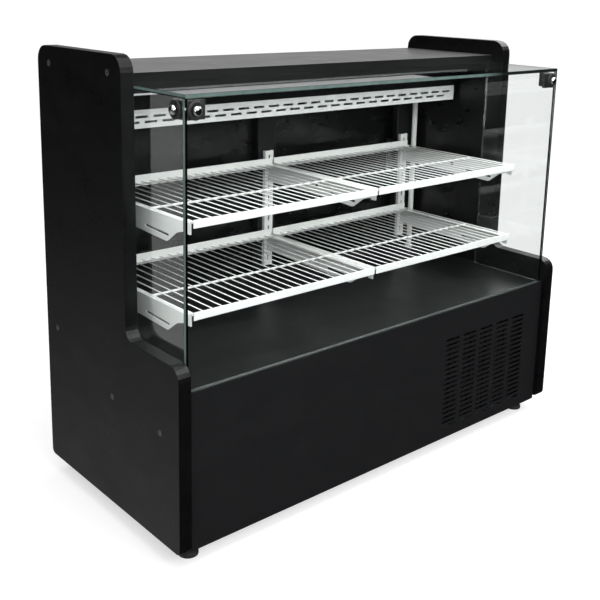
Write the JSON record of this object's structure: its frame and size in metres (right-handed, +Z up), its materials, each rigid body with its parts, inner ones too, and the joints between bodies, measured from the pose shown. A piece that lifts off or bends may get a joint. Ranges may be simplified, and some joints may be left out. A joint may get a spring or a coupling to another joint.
{
  "type": "refrigerated deli case",
  "caption": "Straight-glass refrigerated deli case with wire shelves, sliding rear doors, an under-top evaporator and a condensing unit behind a slotted front panel.",
  "frame": {"origin": "on the floor, at the centre of the footprint", "axes": "+X along the length, to the right as the customer sees it; -Y towards the customer; +Z up"},
  "size_m": [1.25, 0.56, 1.04],
  "materials": {
    "end_board": "satin",
    "black_sheet": "satin",
    "frame_black": "satin",
    "track_black": "satin",
    "door_black": "satin",
    "pull_metal": "satin",
    "glass": "gloss",
    "clip_black": "matte",
    "knob_chrome": "polished",
    "white_steel": "satin",
    "white_plastic": "satin",
    "coil_metal": "satin",
    "galvanised": "satin",
    "machine_black": "gloss",
    "black_plastic": "satin",
    "foam": "matte",
    "foot_rubber": "matte"
  },
  "bodies": {
    "case": {"end_panel_left": "end_board", "end_panel_right": "end_board", "front_panel": "black_sheet", "deck_panel": "black_sheet", "base_back_panel": "black_sheet", "top_cover": "black_sheet", "ceiling_liner": "black_sheet", "rear_stile_left": "frame_black", "rear_mullion": "frame_black", "rear_stile_right": "frame_black", "rear_header": "track_black", "rear_sill": "track_black", "front_glass": "glass", "side_glass_left": "glass", "side_glass_right": "glass", "top_glass": "glass", "corner_clip_left": "clip_black", "corner_clip_right": "clip_black", "clip_knob_left_front": "knob_chrome", "clip_knob_left_side": "knob_chrome", "clip_knob_right_front": "knob_chrome", "clip_knob_right_side": "knob_chrome", "shelf_rail_left": "white_steel", "shelf_rail_centre": "white_steel", "shelf_rail_right": "white_steel", "upper_bracket_left": "white_steel", "upper_bracket_centre": "white_steel", "upper_bracket_right": "white_steel", "lower_bracket_left": "white_steel", "lower_bracket_centre": "white_steel", "lower_bracket_right": "white_steel", "evaporator_housing": "white_steel", "drain_tube": "white_plastic", "led_lamp": "white_plastic", "evaporator_coil": "coil_metal", "condenser_coil": "coil_metal", "base_floor": "galvanised", "compressor": "machine_black", "condenser_fan_motor": "machine_black", "control_plate": "black_plastic", "cable_gland": "black_plastic", "deck_insulation": "foam"},
    "door_left": {"door_left_leaf": "door_black", "door_left_pull": "pull_metal"},
    "door_right": {"door_right_leaf": "door_black", "door_right_pull": "pull_metal"},
    "shelf_upper_left": {"upper_shelf_left": "white_steel"},
    "shelf_upper_right": {"upper_shelf_right": "white_steel"},
    "shelf_lower_left": {"lower_shelf_left": "white_steel"},
    "shelf_lower_right": {"lower_shelf_right": "white_steel"},
    "tray": {"evaporation_tray": "galvanised"},
    "fan_condenser": {"condenser_fan": "black_plastic"},
    "fan_evaporator_left": {"evaporator_fan_left": "white_plastic"},
    "fan_evaporator_right": {"evaporator_fan_right": "white_plastic"},
    "thermostat": {"thermostat_knob": "black_plastic"},
    "switch": {"light_switch": "white_plastic"},
    "levelling_front_left": {"foot_front_left": "foot_rubber"},
    "levelling_front_right": {"foot_front_right": "foot_rubber"},
    "levelling_rear_left": {"foot_rear_left": "foot_rubber"},
    "levelling_rear_right": {"foot_rear_right": "foot_rubber"}
  },
  "joints": [
    {"name": "door_left_slide", "type": "slide", "parent": "case", "child": "door_left", "axis": [1, 0, 0], "range_m": [0, 0.57]},
    {"name": "door_right_slide", "type": "slide", "parent": "case", "child": "door_right", "axis": [-1, 0, 0], "range_m": [0, 0.57]},
    {"name": "upper_shelf_left_lift", "type": "slide", "parent": "case", "child": "shelf_upper_left", "axis": [0, 0, 1], "range_m": [0, 0.1]},
    {"name": "upper_shelf_right_lift", "type": "slide", "parent": "case", "child": "shelf_upper_right", "axis": [0, 0, 1], "range_m": [0, 0.1]},
    {"name": "lower_shelf_left_lift", "type": "slide", "parent": "case", "child": "shelf_lower_left", "axis": [0, 0, 1], "range_m": [0, 0.1]},
    {"name": "lower_shelf_right_lift", "type": "slide", "parent": "case", "child": "shelf_lower_right", "axis": [0, 0, 1], "range_m": [0, 0.1]},
    {"name": "tray_slide", "type": "slide", "parent": "case", "child": "tray", "axis": [0, 1, 0], "range_m": [0, 0.25]},
    {"name": "condenser_fan_spin", "type": "hinge", "parent": "case", "child": "fan_condenser", "pos_m": [0.357, -0.15, 0.185], "axis": [0, 1, 0], "continuous": true},
    {"name": "evaporator_fan_left_spin", "type": "hinge", "parent": "case", "child": "fan_evaporator_left", "pos_m": [-0.29, 0.2, 0.912], "axis": [0, 1, 0], "continuous": true},
    {"name": "evaporator_fan_right_spin", "type": "hinge", "parent": "case", "child": "fan_evaporator_right", "pos_m": [0.29, 0.2, 0.912], "axis": [0, 1, 0], "continuous": true},
    {"name": "thermostat_turn", "type": "hinge", "parent": "case", "child": "thermostat", "pos_m": [0.4, 0.262, 0.297], "axis": [0, -1, 0], "range_deg": [0, 270]},
    {"name": "light_switch_rock", "type": "hinge", "parent": "case", "child": "switch", "pos_m": [0.485, 0.262, 0.297], "axis": [-1, 0, 0], "range_deg": [0, 7]},
    {"name": "foot_front_left_turn", "type": "hinge", "parent": "case", "child": "levelling_front_left", "pos_m": [-0.565, -0.222, 0], "axis": [0, 0, 1], "continuous": true},
    {"name": "foot_front_right_turn", "type": "hinge", "parent": "case", "child": "levelling_front_right", "pos_m": [0.565, -0.222, 0], "axis": [0, 0, 1], "continuous": true},
    {"name": "foot_rear_left_turn", "type": "hinge", "parent": "case", "child": "levelling_rear_left", "pos_m": [-0.565, 0.222, 0], "axis": [0, 0, 1], "continuous": true},
    {"name": "foot_rear_right_turn", "type": "hinge", "parent": "case", "child": "levelling_rear_right", "pos_m": [0.565, 0.222, 0], "axis": [0, 0, 1], "continuous": true}
  ]
}
